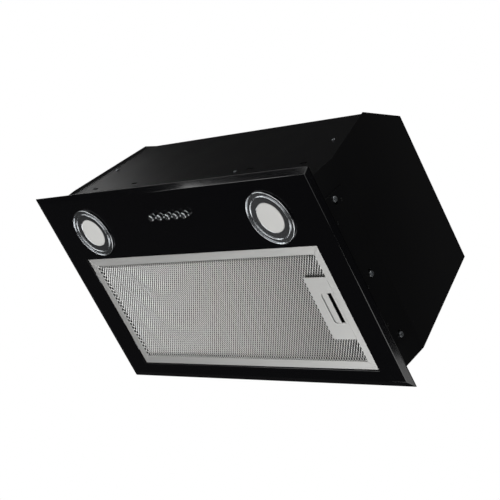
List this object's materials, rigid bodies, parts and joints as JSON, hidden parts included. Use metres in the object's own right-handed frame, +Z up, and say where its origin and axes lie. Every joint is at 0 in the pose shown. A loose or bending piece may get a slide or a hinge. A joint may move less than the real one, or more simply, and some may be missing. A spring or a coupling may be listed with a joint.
{
  "type": "built-in cooker hood",
  "caption": "Black block cooker hood for a cabinet cut-out, with a mesh grease filter, round lamps, push buttons, a blower and a top duct outlet.",
  "frame": {"origin": "centre of the rim's seat plane, which bears on the underside of the cabinet round the cut-out", "axes": "+X along the long front edge towards the latch end, +Y towards the wall, +Z up into the cabinet"},
  "size_m": [0.525, 0.292, 0.3027],
  "materials": {
    "gloss_black": "gloss black powder coat on pressed steel",
    "satin_black": "satin black powder coat on bent sheet steel",
    "aluminium": "satin rolled aluminium",
    "filter_mesh": "expanded aluminium mesh",
    "chrome": "bright chrome",
    "opal": "opal diffuser",
    "galvanised": "zinc coated sheet steel",
    "black_plastic": "moulded, fine grain",
    "white_plastic": "moulded, matt"
  },
  "bodies": {
    "casing": {"blower_hanger_front": "galvanised", "blower_hanger_rear": "galvanised", "cable_gland": "black_plastic", "capacitor": "white_plastic", "capacitor_clip": "galvanised", "face_panel": "gloss_black", "flap_pin": "galvanised", "front_wall": "satin_black", "inlet_ring_left": "black_plastic", "inlet_ring_right": "black_plastic", "lamp_board_left": "white_plastic", "lamp_board_right": "white_plastic", "lamp_can_left": "galvanised", "lamp_can_right": "galvanised", "lamp_driver": "white_plastic", "lamp_lens_left": "opal", "lamp_lens_right": "opal", "lamp_nut_left": "black_plastic", "lamp_nut_right": "black_plastic", "lamp_ring_left": "chrome", "lamp_ring_right": "chrome", "motor_cap_inner": "galvanised", "motor_cap_outer": "galvanised", "motor_cradle": "galvanised", "motor_stator": "galvanised", "outlet_collar": "black_plastic", "rear_wall": "satin_black", "scroll_shell_left": "galvanised", "scroll_shell_right": "galvanised", "side_bracket_left": "satin_black", "side_bracket_right": "satin_black", "side_wall_left": "satin_black", "side_wall_right": "satin_black", "switch_block": "black_plastic", "switch_bracket": "galvanised", "terminal_box": "black_plastic", "terminal_box_lid": "black_plastic", "top_plate": "satin_black"},
    "filter": {"filter_frame": "aluminium", "mesh_outer": "filter_mesh", "mesh_core": "filter_mesh", "mesh_inner": "filter_mesh", "filter_hook_front": "galvanised", "filter_hook_rear": "galvanised", "latch_plate": "aluminium", "latch_pocket": "black_plastic", "latch_spring": "galvanised"},
    "latch": {"latch_slider": "aluminium"},
    "light_button": {"button_light": "chrome"},
    "stop_button": {"button_stop": "chrome"},
    "speed_1_button": {"button_speed_1": "chrome"},
    "speed_2_button": {"button_speed_2": "chrome"},
    "speed_3_button": {"button_speed_3": "chrome"},
    "rotor": {"impeller": "black_plastic", "motor_shaft": "galvanised"},
    "front_flap": {"flap_front": "black_plastic"},
    "rear_flap": {"flap_rear": "black_plastic"}
  },
  "joints": [
    {"name": "filter_swing", "type": "hinge", "parent": "casing", "child": "filter", "pos_m": [-0.22, 0.037, -0.0023], "axis": [0, 1, 0], "range_deg": [0, 75]},
    {"name": "latch_slide", "type": "slide", "parent": "filter", "child": "latch", "axis": [-1, 0, 0], "range_m": [0, 0.006], "stiffness_N_per_m": 300, "springref_m": -0.004, "deforming": ["latch_spring"]},
    {"name": "light_press", "type": "slide", "parent": "casing", "child": "light_button", "axis": [0, 0, 1], "range_m": [0, 0.0035], "stiffness_N_per_m": 400, "springref_m": -0.002},
    {"name": "stop_press", "type": "slide", "parent": "casing", "child": "stop_button", "axis": [0, 0, 1], "range_m": [0, 0.0035], "stiffness_N_per_m": 400, "springref_m": -0.002},
    {"name": "speed_1_press", "type": "slide", "parent": "casing", "child": "speed_1_button", "axis": [0, 0, 1], "range_m": [0, 0.0035], "stiffness_N_per_m": 400, "springref_m": -0.002},
    {"name": "speed_2_press", "type": "slide", "parent": "casing", "child": "speed_2_button", "axis": [0, 0, 1], "range_m": [0, 0.0035], "stiffness_N_per_m": 400, "springref_m": -0.002},
    {"name": "speed_3_press", "type": "slide", "parent": "casing", "child": "speed_3_button", "axis": [0, 0, 1], "range_m": [0, 0.0035], "stiffness_N_per_m": 400, "springref_m": -0.002},
    {"name": "rotor_spin", "type": "hinge", "parent": "casing", "child": "rotor", "pos_m": [0, -0.022, 0.115], "axis": [1, 0, 0], "continuous": true},
    {"name": "front_flap_swing", "type": "hinge", "parent": "casing", "child": "front_flap", "pos_m": [0, 0.026, 0.252], "axis": [-1, 0, 0], "range_deg": [0, 80]},
    {"name": "rear_flap_swing", "type": "hinge", "parent": "casing", "child": "rear_flap", "pos_m": [0, 0.026, 0.252], "axis": [1, 0, 0], "range_deg": [0, 80]}
  ]
}
